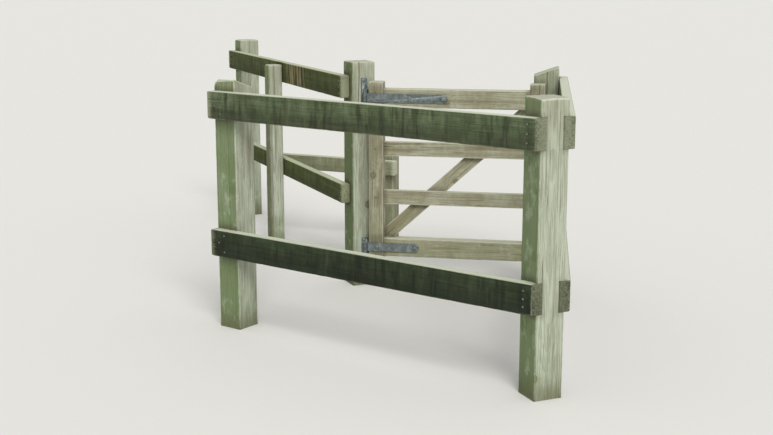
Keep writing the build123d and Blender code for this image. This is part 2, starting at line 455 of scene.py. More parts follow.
def lay_wear_and_painted_shade(wood):
    """Lays rubbed arrises, nail stains, painted shade at joints and in splits, and splashed feet.
    """
    tints = wood.tints
    chafe = wood.step(0.9 * wood.worn + 0.5 * wood.fleck + 0.35 * wood.strand, 0.92, 1.32)
    wood.lay(chafe * 0.75, tints.rubbed)
    wood.lay(wood.step(wood.nailed + 0.3 * wood.fleck, 0.25, 0.9) * 0.5, tints.stain)
    # Painted shade close to the next timber, deeper on damp and shaded faces.
    shade_at_joints = wood.step(wood.lodged + 0.35 * wood.patch + 0.25 * wood.fleck, 0.5, 1.2)
    wood.lay(shade_at_joints * (0.15 + 0.7 * wood.damp), tints.stain)
    high = wood.parts(wood.place)[2]
    wood.lay(wood.step(high + 0.09 * wood.fleck, *SPLASH_BAND) * 0.5, tints.stain)
    # Painted shade inside each split, as stored by the mesh.
    split_shade = wood.step(wood.split + 0.15 * wood.fibre, 0.18, 0.6)
    wood.lay(split_shade * 0.93, SPLIT_SHADE_TINT)


def timber_finish(name, tints, green, soil, runs, hang_and_shade=0.0, tanned=0.0, bare=None):
    """Sawn softwood. Shares from 0 to 1 say how strong each thing is.

    green: the film on damp faces, partly painted shade. soil: brown soiling. runs: running dirt.
    hang_and_shade: the dark lower edge of a rail, water and painted shade. tanned: the brown top
    of a post. bare: the stretch of X that lost its film.
    """
    wood = TimberFinish(name, tints)
    lay_wood(wood, soil, runs)
    lay_film(wood, green, soil)
    lay_runs(wood, runs, hang_and_shade, tanned)
    if bare:
        lay_bare_stretch(wood, *bare)
    lay_ends_and_tops(wood)
    lay_wear_and_painted_shade(wood)
    roughness = 0.94 - 0.14 * wood.silver + 0.05 * wood.grown
    saw = wood.along_grain(150.0, 3.0, 1.0)
    relief = 0.0003 * wood.fibre + 0.0006 * wood.strand + 0.0006 * wood.streak
    relief = relief - 0.00025 * wood.late + 0.0003 * wood.knot
    relief = relief + 0.00012 * saw + 0.0005 * wood.grown * wood.mottle + 0.0004 * wood.crust
    relief = relief - 0.0006 * wood.hairline - 0.0008 * wood.ray
    return wood.surface(wood.base, roughness, relief)


print("the inside of a split is", [round(level, 3) for level in SPLIT_SHADE_TINT[:3]])

# %% [markdown]
# The timbers differ in age and place more than in kind. The posts are pale. The rails of the arms
# are much darker, the low ones darker again as painted shade, and the fence's rails are olive. The
# guard rail and the leaf are paler and browner again. So they share one recipe, each with tints
# and strengths of its own.

# %% The timber finishes
POST_TINTS = Tints(
    pale=(187, 196, 176), middle=(161, 168, 147), dark=(133, 126, 107), algae=(99, 118, 72),
    stain=(88, 79, 60), rubbed=(203, 206, 189), bleached=(188, 190, 172), end=(170, 172, 150),
)
ARM_TINTS = Tints(
    pale=(117, 128, 99), middle=(87, 98, 72), dark=(64, 62, 46), algae=(74, 91, 58),
    stain=(40, 40, 30), rubbed=(150, 152, 128), bleached=(208, 213, 192), end=(150, 153, 128),
)
# Painted shade: the low rails are a darker copy of the arm rails' tints.
ARM_LOW_SHADED_TINTS = Tints(
    pale=(70, 80, 56), middle=(47, 57, 38), dark=(36, 36, 25), algae=(42, 54, 33),
    stain=(21, 24, 19), rubbed=(118, 122, 98), bleached=(208, 213, 192), end=(138, 142, 116),
)
FENCE_TINTS = Tints(
    pale=(90, 100, 54), middle=(65, 75, 33), dark=(52, 47, 23), algae=(68, 80, 37),
    stain=(32, 32, 16), rubbed=(146, 150, 120), bleached=(192, 197, 168), end=(170, 176, 148),
)
GUARD_TINTS = Tints(
    pale=(173, 176, 151), middle=(150, 153, 127), dark=(119, 112, 91), algae=(126, 134, 95),
    stain=(84, 79, 58), rubbed=(190, 193, 170), bleached=(198, 202, 180), end=(168, 171, 146),
)
LEAF_TINTS = Tints(
    pale=(178, 178, 156), middle=(152, 151, 128), dark=(128, 115, 94), algae=(120, 126, 88),
    stain=(82, 73, 56), rubbed=(199, 198, 179), bleached=(190, 191, 170), end=(166, 164, 142),
)
finishes = {
    "post": timber_finish(
        "weathered_post_timber", POST_TINTS, green=1.0, soil=0.35, runs=0.15, tanned=0.35
    ),
    "arm_top": timber_finish(
        "weathered_arm_rail_timber", ARM_TINTS, green=0.8, soil=1.0, runs=1.0, hang_and_shade=0.5
    ),
    "arm_low": timber_finish(
        "weathered_low_rail_timber", ARM_LOW_SHADED_TINTS, green=0.8, soil=0.9, runs=1.0, hang_and_shade=0.45
    ),
    "fence": timber_finish(
        "weathered_fence_rail_timber", FENCE_TINTS,
        green=0.8, soil=1.0, runs=0.8, hang_and_shade=0.4, bare=BARE_STRETCH,
    ),
    "guard": timber_finish(
        "weathered_guard_timber", GUARD_TINTS, green=0.8, soil=0.8, runs=0.5, hang_and_shade=0.2
    ),
    "leaf": timber_finish("weathered_leaf_timber", LEAF_TINTS, green=0.6, soil=0.8, runs=0.15),
}
print("timber finishes:", ", ".join(finishes))

# %% [markdown]
# The hooks and bands are forged steel dipped in zinc. New zinc shows bright flakes. After some
# years it goes a dull blue grey with white bloom in sheltered places, and rust starts where the
# eye rubs on the pin. It is dull enough that a half metallic grey reads better than a mirror.

# %% The finish of old galvanised steel


def zinc_finish(name, rusting):
    """Dull zinc with flakes and bloom. rusting is the share that has gone to rust, 0 to 1."""
    finish = Finish(name)
    point = finish.node("ShaderNodeTexCoord", {}, {}, "Object")
    flake = finish.cells(point, 240.0, "Color")
    flake_tone = finish.parts(flake)[0]
    bloom = finish.step(finish.cloud(finish.stretched(point, (38.0, 38.0, 38.0)), 4.0), 0.45, 0.7)
    grime = finish.cloud(finish.stretched(point, (80.0, 80.0, 40.0)), 4.0, 0.65)
    zinc = finish.blend(flake_tone, colour(92, 102, 103), colour(118, 129, 130))
    zinc = finish.blend(bloom * 0.5, zinc, colour(150, 158, 154))
    rust_patch = finish.step(grime, 0.60 - 0.3 * rusting, 0.84 - 0.25 * rusting)
    rust = finish.blend(grime, colour(74, 54, 40), colour(112, 82, 58))
    base = finish.blend(rust_patch * 0.85, zinc, rust)
    roughness = 0.42 + 0.2 * bloom + 0.3 * rust_patch
    metallic = 0.55 - 0.3 * bloom - 0.5 * rust_patch
    relief = 0.0002 * grime + 0.00006 * flake_tone
    return finish.surface(base, roughness, relief, metallic, 0.5)


finishes["zinc"] = zinc_finish("dull_zinc", 0.25)
finishes["nail"] = zinc_finish("nail_head_steel", 0.75)
print("metal finishes ready")

# %% [markdown]
# The pegs that pin the leaf's joints are oak, seen end on. Their grain is too small to draw ring
# by ring, so it is left to dark pores on a mottled ground.

# %% The finish of peg ends


def peg_finish(name):
    """The end grain of a hard peg."""
    finish = Finish(name)
    point = finish.node("ShaderNodeTexCoord", {}, {}, "Object")
    pore = finish.step(finish.cells(point, 900.0), 0.4, 0.15)
    tone = finish.cloud(finish.stretched(point, (170.0, 170.0, 170.0)))
    base = finish.blend(tone, colour(92, 86, 68), colour(148, 141, 118))
    base = finish.blend(pore * 0.6, base, colour(58, 51, 39))
    return finish.surface(base, 0.9, 0.0002 * tone - 0.0002 * pore)


finishes["peg"] = peg_finish("weathered_peg_end")
print("peg finish ready")

# %% [markdown]
# Every timber is cut from the packed solid, so its outline, its sloping top and its seats are
# right by definition. Its faces tell which way it runs: the broadest faces give one direction,
# the next broadest that is square to them gives another, and the grain runs square to both.
# Posts are told by their names, because a square post has no broadest face. Reading this from
# the faces works for posts, rails and the slanting brace alike.

# %% Which way a timber runs
TIMBERS = {
    "post": [
        "hanging_post", "track_clapping_post", "field_clapping_post", "apex_post",
        "fence_end_post", "fence_prick_post",
    ],
    "arm_top": ["track_arm_top_rail", "field_arm_top_rail"],
    "arm_low": ["track_arm_lower_rail", "field_arm_lower_rail"],
    "fence": ["fence_top_rail", "fence_lower_rail"],
    "guard": ["guard_rail", "guard_post"],
    "leaf": sorted(node for node in frame["nodes"] if node.startswith("leaf_")),
}


def positive(direction):
    """The direction, turned about where its largest number is negative."""
    largest = max(range(3), key=lambda axis: abs(direction[axis]))
    return direction if direction[largest] > 0 else -direction


def timber_axes(node):
    """The directions along the grain, across the width and through the thickness."""
    areas = {}
    for face in frame["nodes"][node].data.polygons:
        facing = positive(face.normal.copy())
        key = tuple(round(c, 2) for c in facing)
        area, total = areas.get(key, (0.0, Vector()))
        areas[key] = (area + face.area, total + facing * face.area)
    by_area = sorted(areas.values(), key=lambda pair: -pair[0])
    ranked = [total.normalized() for area, total in by_area]
    if node.endswith("post"):
        broad = [facing for facing in ranked if abs(facing.z) < 0.01][:2]
        through = max(broad, key=lambda facing: abs(facing.x))
        through = through if through.x > 0 else -through
        along = Vector((0, 0, 1))
        return along, through.cross(along), through
    through = ranked[0]
    across = next(facing for facing in ranked if abs(facing.dot(through)) < 0.01)
    across = (across - through * across.dot(through)).normalized()
    along = positive(across.cross(through).normalized())
    return along, through.cross(along), through


def timber_frame(node):
    """A matrix from the timber's own directions to the model's frame."""
    return Matrix(timber_axes(node)).transposed().to_4x4()


def own_box(node):
    """A timber's lowest and highest corners in its own directions."""
    to_own = timber_frame(node).transposed()
    points = [to_own @ vert.co for vert in frame["nodes"][node].data.vertices]
    return Vector([*map(min, zip(*points))]), Vector([*map(max, zip(*points))])


for node in ("hanging_post", "track_arm_top_rail", "leaf_brace"):
    low, high = own_box(node)
    way = [round(c, 3) for c in timber_axes(node)[0]]
    print(node, "runs along", way, "for", round(high.x - low.x, 3))

# %% [markdown]
# Nails hold the rails to the posts. Their places come before the timbers are made, because each
# nail leaves a mark in the wood below it. A crossing is where the middle lines of two timbers
# pass closest, and the heads are on the face that looks away from the timber behind. Two or
# three are driven in a zigzag, so that they don't split the wood along one line of grain.

# %% Where the nails go
NAIL_END_MARGIN = 0.035
NAIL_STAGGER = 0.017
NAIL_SPREAD = 0.56
NAIL_JITTER = 0.004
DEEP_RAIL = 0.11
NO_GAP = 1e-4

NAILED = {
    "fence_top_rail": ("hanging_post", "fence_end_post"),
    "fence_lower_rail": ("hanging_post", "fence_end_post"),
    "fence_prick_post": ("fence_top_rail", "fence_lower_rail"),
    "guard_rail": ("guard_post", "fence_lower_rail"),
    "leaf_brace": ("leaf_middle_rail_1", "leaf_middle_rail_2"),
}
for side in ("track", "field"):
    for level in ("top", "lower"):
        NAILED[side + "_arm_" + level + "_rail"] = (side + "_clapping_post", "apex_post")


def heart_line(node):
    """Two points on the line through the middle of a timber, along its grain."""
    low, high = own_box(node)
    middle = (low + high) / 2
    to_model = timber_frame(node)
    return to_model @ middle, to_model @ (middle + Vector((1, 0, 0)))


def crossing(front, back, to_own):
    """Where two timbers' middle lines pass closest, in the front one's own directions."""
    closest = intersect_line_line(*heart_line(front), *heart_line(back))
    return [to_own @ point for point in closest]


def nail_places(front, backs, dice):
    """Points on the front timber's outer face where nails go in, and that face's direction."""
    to_model = timber_frame(front)
    to_own = to_model.transposed()
    low, high = own_box(front)
    crossings = [crossing(front, back, to_own) for back in backs]
    away = crossings[0][0] - crossings[0][1]
    axis = 1 if abs(away.y) > abs(away.z) else 2
    other = 3 - axis
    side = 1 if away[axis] > 0 else -1
    face = high[axis] if side > 0 else low[axis]
    points = [to_own @ vert.co for vert in frame["nodes"][front].data.vertices]
    reach = [point.x for point in points if abs(point[axis] - face) < NO_GAP]
    first, last = min(reach) + NAIL_END_MARGIN, max(reach) - NAIL_END_MARGIN
    wide = high[other] - low[other]
    count = 3 if wide > DEEP_RAIL else 2
    places = []
    for near, _ in crossings:
        for number in range(count):
            place = Vector((near.x + NAIL_STAGGER * (-1) ** number, 0, 0))
            place.x += dice.uniform(-NAIL_JITTER, NAIL_JITTER)
            place.x = min(max(place.x, first), last)
            share = NAIL_SPREAD * (number / (count - 1) - 0.5)
            place[other] = (low[other] + high[other]) / 2 + share * wide
            place[other] += dice.uniform(-NAIL_JITTER, NAIL_JITTER)
            place[axis] = face
            places.append(to_model @ place)
    out = Vector((0, 0, 0))
    out[axis] = side
    return places, to_model.to_3x3() @ out


nail_dice = random.Random(5)
nails = {front: nail_places(front, backs, nail_dice) for front, backs in NAILED.items()}
print("nails:", sum(len(places) for places, _ in nails.values()))

# %% [markdown]
# A drying split is a real groove. Timber dries faster at its skin than at its heart, so long
# posts open along the middle of their faces, and rails open from their ends. Painted lines
# would stay flat in a low light, so each split is three lines of points, the middle one pushed
# in. It is narrow at its inner end and wanders a little, as the grain does. Places and reaches
# are shares of the timber, widths and depths are metres. A split that would go on past the end
# of the timber is open there.

# %% Drying splits
Split = namedtuple("Split", "axis side offset start stop width depth")
SEEN_SPLIT = Split(axis=2, side=1, offset=0.026, start=0.75, stop=1.60, width=0.005, depth=0.018)
SEEN_SPLITS = {"hanging_post": {(2, 1): SEEN_SPLIT}}
TOP_OPENS = 0.6
POST_SPLIT_ASIDE = (-0.16, 0.16)
POST_SPLIT_REACH = (0.35, 0.65)
POST_SPLIT_MIDDLE = (0.45, 0.7)
POST_SPLIT_WIDTH = (0.0015, 0.0032)
POST_SPLIT_DEPTH = (0.008, 0.015)
RAIL_OPENS = 0.75
RAIL_SPLIT_ASIDE = (-0.25, 0.25)
RAIL_SPLIT_REACH = (0.05, 0.14)
RAIL_SPLIT_WIDTH = (0.0014, 0.0026)
RAIL_SPLIT_DEPTH = (0.004, 0.009)
LONG_RAIL = 1.4


def post_splits(node, size, dice):
    """One split down each face of a post, most of them open at the top."""
    splits = []
    for axis, side in ((1, 1), (1, -1), (2, 1), (2, -1)):
        offset = dice.uniform(*POST_SPLIT_ASIDE) * size[3 - axis]
        reach = size.x * dice.uniform(*POST_SPLIT_REACH)
        open_top = dice.random() < TOP_OPENS
        middle = size.x if open_top else size.x * dice.uniform(*POST_SPLIT_MIDDLE)
        width, depth = dice.uniform(*POST_SPLIT_WIDTH), dice.uniform(*POST_SPLIT_DEPTH)
        split = Split(axis, side, offset, middle - reach, middle + reach, width, depth)
        splits.append(SEEN_SPLITS.get(node, {}).get((axis, side), split))
    return splits


def rail_splits(size, dice):
    """Short splits in from a rail's ends, on its two broad faces."""
    splits = []
    for end in (0.0, size.x):
        for side in (1, -1):
            reach = dice.uniform(*RAIL_SPLIT_REACH) * min(size.x, LONG_RAIL)
            offset = dice.uniform(*RAIL_SPLIT_ASIDE) * size.y
            width = dice.uniform(*RAIL_SPLIT_WIDTH)
            if dice.random() < RAIL_OPENS:
                depth = dice.uniform(*RAIL_SPLIT_DEPTH)
                splits.append(Split(2, side, offset, end - reach, end + reach, width, depth))
    return splits


def opened(split, own, start):
    """How far open a split is beside a point, 0 to 1. start is the timber's low end."""
    share = (own.x - start - split.start) / (split.stop - split.start)
    return math.sin(math.pi * share) ** 0.5 if 0 < share < 1 else 0.0


print("a post has", len(post_splits("", Vector((1.1, 0.1, 0.1)), random.Random(1))), "splits")

# %% [markdown]
# The solid is sliced into small panels, narrower than a thumb, so that its points can be moved.
# Slicing keeps the flat faces flat, where a remesh would round every corner.

# %% Slice a timber
PANEL_ALONG = 0.014
PANEL_ACROSS = 0.008
LINE_GAP = 0.0025


def cut_lines(low, high, pitch):
    """Even cuts between two ends, about a pitch apart."""
    count = max(1, round((high - low) / pitch))
    return [low + (high - low) * number / count for number in range(1, count)]


def slice_at(mesh, axis, places):
    """Cuts the mesh by a flat plane at each place along one of its axes."""
    normal = Vector([1.0 if number == axis else 0.0 for number in range(3)])
    for place in places:
        everything = mesh.verts[:] + mesh.edges[:] + mesh.faces[:]
        bmesh.ops.bisect_plane(
            mesh, geom=everything, dist=1e-6, plane_co=normal * place, plane_no=normal
        )


def sliced(node, splits):
    """The node's mesh in its own directions, cut into panels and along each split."""
    low, high = own_box(node)
    mesh = bmesh.new()
    mesh.from_mesh(frame["nodes"][node].data)
    bmesh.ops.remove_doubles(mesh, verts=mesh.verts, dist=1e-5)
    bmesh.ops.join_triangles(
        mesh, faces=mesh.faces, angle_face_threshold=0.01, angle_shape_threshold=math.pi
    )
    mesh.transform(timber_frame(node).transposed())
    slice_at(mesh, 0, cut_lines(low.x, high.x, PANEL_ALONG))
    for axis in (1, 2):
        lines = []
        for split in splits:
            if split.axis == 3 - axis:
                line = (low[axis] + high[axis]) / 2 + split.offset
                lines += [line - split.width / 2, line, line + split.width / 2]
        even = cut_lines(low[axis], high[axis], PANEL_ACROSS)
        clear = [cut for cut in even if all(abs(cut - line) > LINE_GAP for line in lines)]
        slice_at(mesh, axis, clear)
        slice_at(mesh, axis, lines)
    mesh.normal_update()
    return mesh


print("panels of", PANEL_ALONG, "by", PANEL_ACROSS)

# %% [markdown]
# Then each point is moved inwards only, so the timber never grows past its real size: a slow
# unevenness all over, and rubbed and chipped arrises. Each loss is a least depth and what the
# noise adds to it.

# %% Wear
ARRIS_REACH = 0.012
SKIN_LOSS = (0.0003, 0.0004)
ARRIS_LOSS = (0.0003, 0.0026)
POST_TOP_LOSS = (0.0005, 0.0018)
SLOW_SWELLS = (6, 14, 14)
CHIP_SWELLS = (24, 30, 30)
FINE_CHIP_SWELLS = (70, 60, 60)


def uneven(own, seed, swells):
    """Smooth noise from -1 to 1, with so many swells a metre along each axis."""
    return noise.noise(Vector((own.x * swells[0] + seed, own.y * swells[1], own.z * swells[2])))


def rubbed_depth(own, ranked, seed, exposed):
    """How far the weather has worn a face in. ranked: distances from the faces, nearest first."""
    depth = SKIN_LOSS[0] + SKIN_LOSS[1] * max(0.0, uneven(own, seed, SLOW_SWELLS))
    near = max(0.0, 1 - ranked[1] / ARRIS_REACH)
    chip = uneven(own, seed, CHIP_SWELLS) + 0.5 * uneven(own, seed, FINE_CHIP_SWELLS)
    depth += near * near * (ARRIS_LOSS[0] + ARRIS_LOSS[1] * max(0.0, chip - 0.12))
    return depth + exposed * near * (POST_TOP_LOSS[0] + POST_TOP_LOSS[1] * max(0.0, chip + 0.1))


print("an arris is rubbed within", ARRIS_REACH, "of the edge")

# %% [markdown]
# Exposed corners have lost more, so points there are pressed onto an oval. A bevel would take the
# same from every corner, and this one can differ: a clapping post has lost a large piece of the
# corner over the mouth of the gate. A lost corner is given by its height, its width and the
# length in which it fades out. The free ends of the rails are rounded in the same way.

# %% Lost corners
SMALL_LOSS = ((0.008, 0.018), (0.004, 0.009), (0.02, 0.05))
LARGE_LOSS = {("track_clapping_post", 1, -1): (0.048, 0.026, 0.12)}
FREE_ENDS = {"fence_top_rail": (0, 1), "fence_lower_rail": (0, 1), "guard_rail": (1,)}
FREE_ENDS.update(dict.fromkeys(TIMBERS["arm_top"] + TIMBERS["arm_low"], (0,)))


def pressed(own, corner, reach, fade=None):
    """own, moved onto an oval inside a corner, where it lies outside it.

    reach gives the oval's two radii by axis, signed towards the corner. fade is a third axis and
    the length in which the loss dies out along it.
    """
    axes = sorted(reach)
    into = [(own[axis] - corner[axis]) / reach[axis] + 1 for axis in axes]
    over = math.hypot(*into)
    if min(into) <= 0 or over <= 1:
        return own
    share = 1.0
    if fade:
        share = max(0.0, 1 - abs(own[fade[0]] - corner[fade[0]]) / fade[1]) ** 0.7
    at = own.copy()
    for axis, part in zip(axes, into):
        at[axis] -= part * (1 - 1 / over) * reach[axis] * share
    return at


def lost_corners(node, low, high, top, dice):
    """What has gone from each exposed corner: its point, the oval's reach, and how it fades."""
    losses = []
    through_ways = (1, -1) if node.endswith("post") else ()
    for across in (1, -1):
        for through in through_ways:
            point = Vector((0, high.y if across > 0 else low.y, high.z if through > 0 else low.z))
            point.x = top(point)
            tall, wide, fade = [dice.uniform(*span) for span in SMALL_LOSS]
            tall, wide, fade = LARGE_LOSS.get((node, across, through), (tall, wide, fade))
            losses.append((point, {0: tall, 2: through * wide}, (1, fade)))
            losses.append((point, {0: tall, 1: across * wide}, (2, fade)))
        for end in FREE_ENDS.get(node, ()):
            point = Vector((high.x if end else low.x, high.y if across > 0 else low.y, 0))
            long, deep, _ = [dice.uniform(*span) for span in SMALL_LOSS]
            losses.append((point, {0: long if end else -long, 1: across * deep}, None))
    return losses


print("small corner losses up to", SMALL_LOSS[0][1], "along and", SMALL_LOSS[1][1], "wide")

# %% [markdown]
# One class keeps what is true of a whole timber, so that each question about a point is short:
# how deep it lies, how far wear has moved it, and where it lies in the tree. The two ends are
# planes read from the mesh, since posts have sloping tops and rails are cut askew. Worn points
# are held inside those planes, because wear that follows a point's own direction could otherwise
# push a corner out past the end.

# %% A worn timber
POST_TOP_REACH = 0.03
ON_FACE = 0.0005
SPLIT_WANDER = 0.0035
# Painted shade at a split's rim.
SPLIT_RIM_SHADE = 0.08
END_RUB = 0.9
END_BLEACH = 0.05
HEART_SPREAD = (-0.02, 0.02)
HEART_OUTSIDE = (0.05, 0.09)


def end_planes(mesh):
    """The planes of a timber's two ends, low then high, each as its normal and its level."""
    planes = []
    for sign in (-1, 1):
        ends = [face for face in mesh.faces if face.normal.x * sign > 0.5]
        levels = [(face.normal.copy(), face.normal.dot(face.verts[0].co)) for face in ends]
        planes.append(max(levels, key=lambda plane: plane[1]))
    return planes


class WornTimber:
    """A timber in its own directions: its sliced mesh, its splits, its ends and lost corners."""

    def __init__(self, node, seed):
        dice = random.Random(seed)
        self.node = node
        self.seed = seed
        self.is_post = node.endswith("post")
        self.low, self.high = own_box(node)
        self.middle, self.size = (self.low + self.high) / 2, self.high - self.low
        if self.is_post:
            self.splits = post_splits(node, self.size, dice)
        else:
            self.splits = rail_splits(self.size, dice)
        self.mesh = sliced(node, self.splits)
        self.ends = end_planes(self.mesh)
        self.corners = lost_corners(node, self.low, self.high, self.top, dice)
        self.heart = Vector((dice.uniform(3, 40), *[dice.uniform(*HEART_SPREAD) for _ in "yz"]))
        if not self.is_post:
            self.heart.z = dice.choice((-1, 1)) * dice.uniform(*HEART_OUTSIDE)
        self.drift = Vector((0, *[dice.uniform(*HEART_SPREAD) for _ in "yz"]))

    def top(self, point):
        """Where the far end is, along the grain, over a point."""
        slope, level = self.ends[1]
        return (level - slope.y * point.y - slope.z * point.z) / slope.x

    def depths(self, own):
        """How deep a point lies below the sides, the faces and the nearest end, or a post's top."""
        depths = [min(own[axis] - self.low[axis], self.high[axis] - own[axis]) for axis in range(3)]
        end_depth = self.top(own) - own.x if self.is_post else depths[0]
        return [*depths[1:], end_depth]

    def opened_at(self, split, own, at):
        """Moves a point on a split's lines to open it. Returns its painted shade there, 0 to 1."""
        across = 3 - split.axis
        line = self.middle[across] + split.offset
        out = (own[split.axis] - self.middle[split.axis]) * split.side
        on_face = out > self.size[split.axis] / 2 - ON_FACE
        share = opened(split, own, self.low.x)
        if not on_face or abs(own[across] - line) > split.width * 0.51 or share == 0.0:
            return 0.0
        shift = (own[across] - line) / (split.width / 2)
        wander = SPLIT_WANDER * noise.noise(Vector((own.x * 5, self.seed, split.offset * 50)))
        at[across] = line + wander + shift * share * split.width / 2
        if abs(shift) > 0.5:
            return SPLIT_RIM_SHADE * share
        at[split.axis] -= split.side * split.depth * share
        return share

    def worn(self, own, normal):
        """A point after wear, and how much painted shade a split gives it."""
        depths = self.depths(own)
        exposed = max(0.0, 1 - depths[2] / POST_TOP_REACH) if self.is_post else 0.0
        at = own - normal * rubbed_depth(own, sorted(depths), self.seed, exposed)
        for corner, reach, fade in self.corners:
            at = pressed(at, corner, reach, fade)
        split_shade = 0.0
        for split in self.splits:
            split_shade = max(split_shade, self.opened_at(split, own, at))
        for slope, level in self.ends:
            at -= slope * max(0.0, at.dot(slope) - level)
        return at, split_shade

    def rubbed(self, own):
        """How rubbed a point is, 0 to 1: most on arrises and on the free ends of rails."""
        depths = self.depths(own)
        arris = max(0.0, 1 - sorted(depths)[1] / ARRIS_REACH)
        if self.node in FREE_ENDS and depths[2] < END_BLEACH:
            arris = max(arris, END_RUB * (1 - (depths[2] / END_BLEACH) ** 2))
        return arris

    def in_tree(self, own):
        """Where a point lies in the tree, whose heart drifts aside along the timber."""
        pith = own - self.middle - self.drift * (own.x - self.low.x)
        return self.heart + Vector((own.x, pith.y, pith.z))


print("rails are bleached within", END_BLEACH, "of a free end")

# %% [markdown]
# What the finish needs to know is stored at each point: where it lies in the tree and in the
# model, how damp and how shaded, how rubbed, how much painted shade a split gives it, how far below
# the timber's top, how much it looks upwards, how close it is below a nail, and how close to the
# next timber, where shade is painted. A shader knows one point at a time and can't find the nearest
# nail or timber, and a painted picture would have to be done again for each change of size.

# %% Nails and neighbours
MARK_RING = 0.015
MARK_RUN = 0.13
MARK_WIDTH = 0.010
MARK_DEPTH = 0.012
# How far from the next timber the painted shade reaches.
JOINT_SHADE_REACH = 0.04
ALL_TIMBERS = [node for nodes in TIMBERS.values() for node in nodes]


def nail_mark(node, flat):
    """How strongly the nails mark a point: a ring round each, and a run below it."""
    places, out = nails.get(node, ((), None))
    mark = 0.0
    for place in places:
        gap = flat - place
        if abs(gap.dot(out)) > MARK_DEPTH:
            continue
        aside = gap - out * gap.dot(out)
        below = -aside.z
        aside.z = 0.0
        mark = max(mark, 1 - gap.length / MARK_RING)
        if below > 0:
            mark = max(mark, (1 - aside.length / MARK_WIDTH) * (1 - below / MARK_RUN))
    return mark


def neighbours(node):
    """The timbers near this one: a matrix to their own directions, and their boxes."""
    low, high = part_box(node)
    near = []
    for other in ALL_TIMBERS:
        from_low, to_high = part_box(other)
        gaps = [max(from_low[axis] - high[axis], low[axis] - to_high[axis]) for axis in range(3)]
        if other != node and max(gaps) < JOINT_SHADE_REACH:
            near.append((timber_frame(other).transposed(), *own_box(other)))
    return near


def closeness(flat, near):
    """How close a point lies to the nearest of its timber's neighbours, 0 far off to 1 touching."""
    closest = JOINT_SHADE_REACH
    for to_own, low, high in near:
        own = to_own @ flat
        gap = [max(low[axis] - own[axis], own[axis] - high[axis], 0.0) for axis in range(3)]
        closest = min(closest, math.hypot(*gap))
    return 1 - closest / JOINT_SHADE_REACH


print("the hanging post has", len(neighbours("hanging_post")), "neighbours")

# %% [markdown]
# The green is strongest on the faces that look to the track side, so those count as dampest and
# carry the most painted shade, and those that look away from the point of the V come next. Feet
# are damp all round. The track side of the hanging post gets more painted shade, and is greener
# still.

# %% Store where the weather bites
DAMP_AND_SHADE_TRACK_FACE = 0.55
DAMP_AND_SHADE_BACK_FACE = 0.3
DAMP_TOP = 0.2
DAMP_FOOT = 0.35
DAMP_HEIGHT = 0.5
# Painted shade: the hanging post's track face gets extra green and deep green.
TRACK_FACE_SHADE = {"hanging_post": 0.5}
END_FACING = 0.75
GROUND_BAND = 0.004


def dampness(node, flat, facing):
    """How damp a point stays, with painted shade, by the way it faces and its height above the
    ground.
    """
    # Painted shade: track-side and back faces get more of this value, as well as damp.
    damp = DAMP_AND_SHADE_TRACK_FACE * max(0.0, -facing.y) + DAMP_TOP * max(0.0, facing.z)
    damp += DAMP_AND_SHADE_BACK_FACE * max(0.0, -facing.x)
    near_ground = DAMP_FOOT * max(0.0, 1 - flat.z / DAMP_HEIGHT)
    return damp + (near_ground + TRACK_FACE_SHADE.get(node, 0.0) * max(0.0, -facing.y))


def weathered(node, seed):
    """The timber's mesh, worn, with what its finish needs stored at each point."""
    timber = WornTimber(node, seed)
    mesh = timber.mesh
    stores = mesh.verts.layers.float_vector
    grain, place, weather, marks = [
        stores.new(name) for name in ("grain", "place", "weather", "marks")
    ]
    # Closeness to the next timber, for the painted shade at joints.
    lodged = mesh.verts.layers.float.new("lodged")
    end = mesh.faces.layers.float.new("end")
    for face in mesh.faces:
        face[end] = 1.0 if abs(face.normal.x) > END_FACING else 0.0

    near = neighbours(node)
    to_model = timber_frame(node)
    turn = to_model.to_3x3()
    top_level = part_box(node)[1].z
    moved = []
    for vert in mesh.verts:
        own = vert.co.copy()
        facing = turn @ vert.normal
        flat = to_model @ own
        at, split_shade = timber.worn(own, vert.normal)
        moved.append(own if flat.z < GROUND_BAND else at)
        vert[grain] = timber.in_tree(own)
        vert[place] = flat
        vert[lodged] = closeness(flat, near)
        vert[weather] = Vector((dampness(node, flat, facing), timber.rubbed(own), split_shade))
        vert[marks] = Vector((top_level - flat.z, max(0.0, facing.z), nail_mark(node, flat)))
    for vert, at in zip(mesh.verts, moved):
        vert.co = at
    mesh.transform(to_model)
    return mesh


print("faces within", DAMP_HEIGHT, "of the ground are damp all round")

# %% [markdown]
# Each weathered mesh stands for its node in the packed model. The packed node stays hidden
# underneath for collision. Faces that meet at a low angle are shaded as one surface, and the
# sawn corners stay crisp.

# %% Make every timber
SHADE_ANGLE = math.radians(38)


def place_piece(name, mesh, finish, body, nodes=()):
    """Makes an object of a mesh, gives it its finish and lets it ride on a body."""
    data = bpy.data.meshes.new(name)
    mesh.to_mesh(data)
    mesh.free()
    data.materials.append(finishes[finish])
    data.shade_smooth()
    data.set_sharp_from_angle(angle=SHADE_ANGLE)
    piece = bpy.data.objects.new(name, data)
    bpy.context.scene.collection.objects.link(piece)
    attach(piece, body)
    if nodes:
        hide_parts(*nodes)
    return piece


seed = 0
panel_count = 0
for finish, nodes in TIMBERS.items():
    for node in nodes:
        seed += 1
        body = frame["nodes"][node]["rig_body"]
        piece = place_piece(node + "_timber", weathered(node, seed), finish, body, [node])
        panel_count += len(piece.data.polygons)
print("timbers:", seed, "with", panel_count, "panels")

# %% [markdown]
# The hooks and bands keep their packed shape, with the sharp edges of the solid taken off by a
# small bevel. Even a millimetre catches the light and tells the eye that this is metal with a
# thickness. A bevel done in the shader would not reach the exported mesh.

# %% Forged hooks and bands
EDGE_EASE = 0.0009


